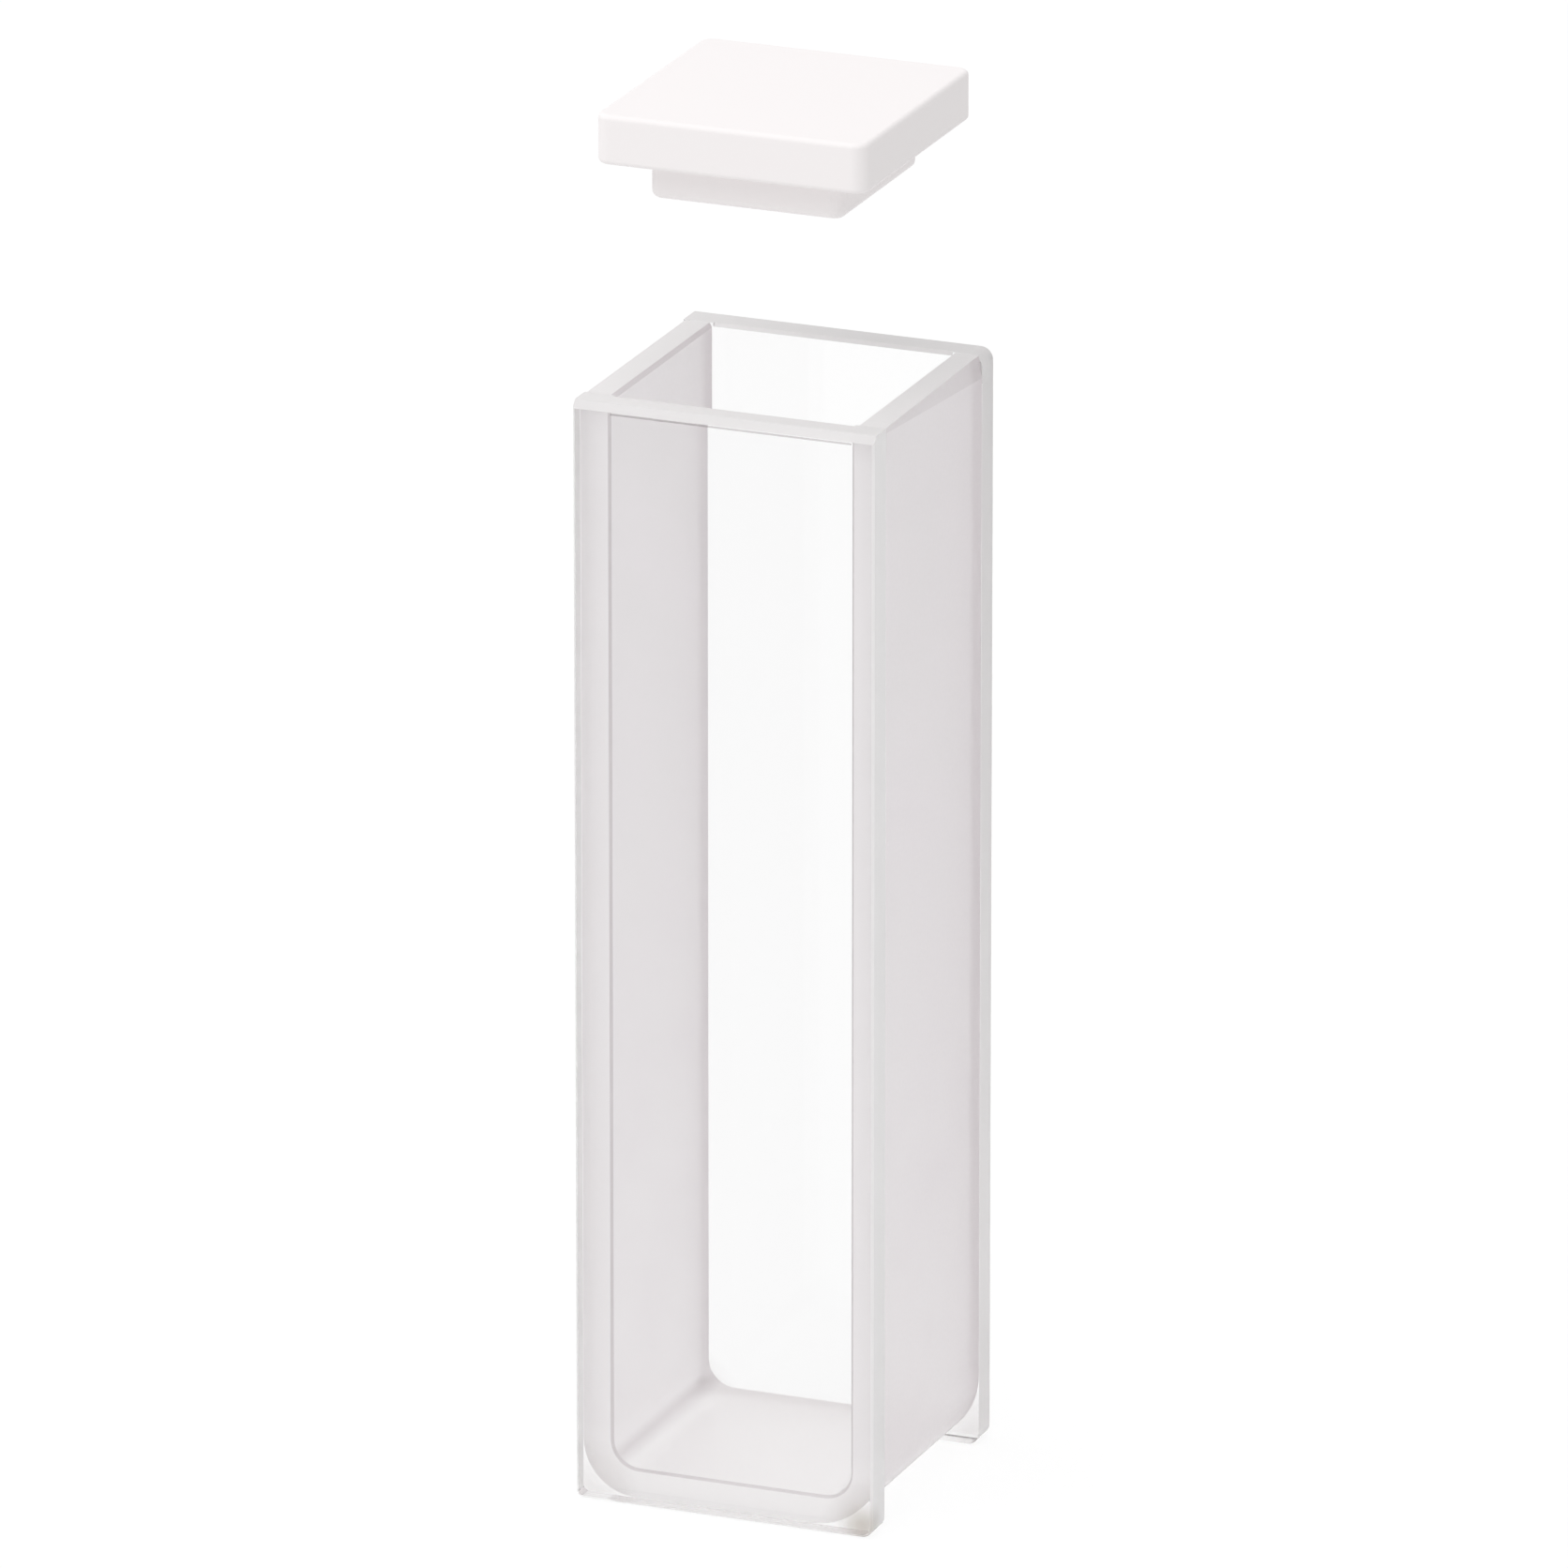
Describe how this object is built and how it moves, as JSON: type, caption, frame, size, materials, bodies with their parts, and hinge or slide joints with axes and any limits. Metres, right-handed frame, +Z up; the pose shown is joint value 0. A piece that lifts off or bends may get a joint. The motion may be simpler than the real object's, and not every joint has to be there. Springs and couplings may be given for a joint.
{
  "type": "cuvette",
  "caption": "Square optical cuvette with two clear windows fused to a frosted U-shaped frame, open at the top, and a white lift-off lid with a plug that hangs in the mouth.",
  "frame": {"origin": "middle of the base, on the surface the cell stands on", "axes": "+Z up out of the mouth, Y along the light path with the front window facing -Y, X across the two frosted side walls"},
  "size_m": [0.0126, 0.0126, 0.0564],
  "materials": {
    "clear_glass": "polished clear faces with ground edges",
    "frosted_glass": "fine ground, translucent",
    "white_lid": "moulded fluoropolymer, soft and waxy"
  },
  "bodies": {
    "cell": {"front_window": "clear_glass", "rear_window": "clear_glass", "u_frame": "frosted_glass"},
    "lid": {"lid": "white_lid"}
  },
  "joints": [
    {"name": "lid_lift", "type": "slide", "parent": "cell", "child": "lid", "axis": [0, 0, 1], "range_m": [-0.0094, 0]}
  ]
}
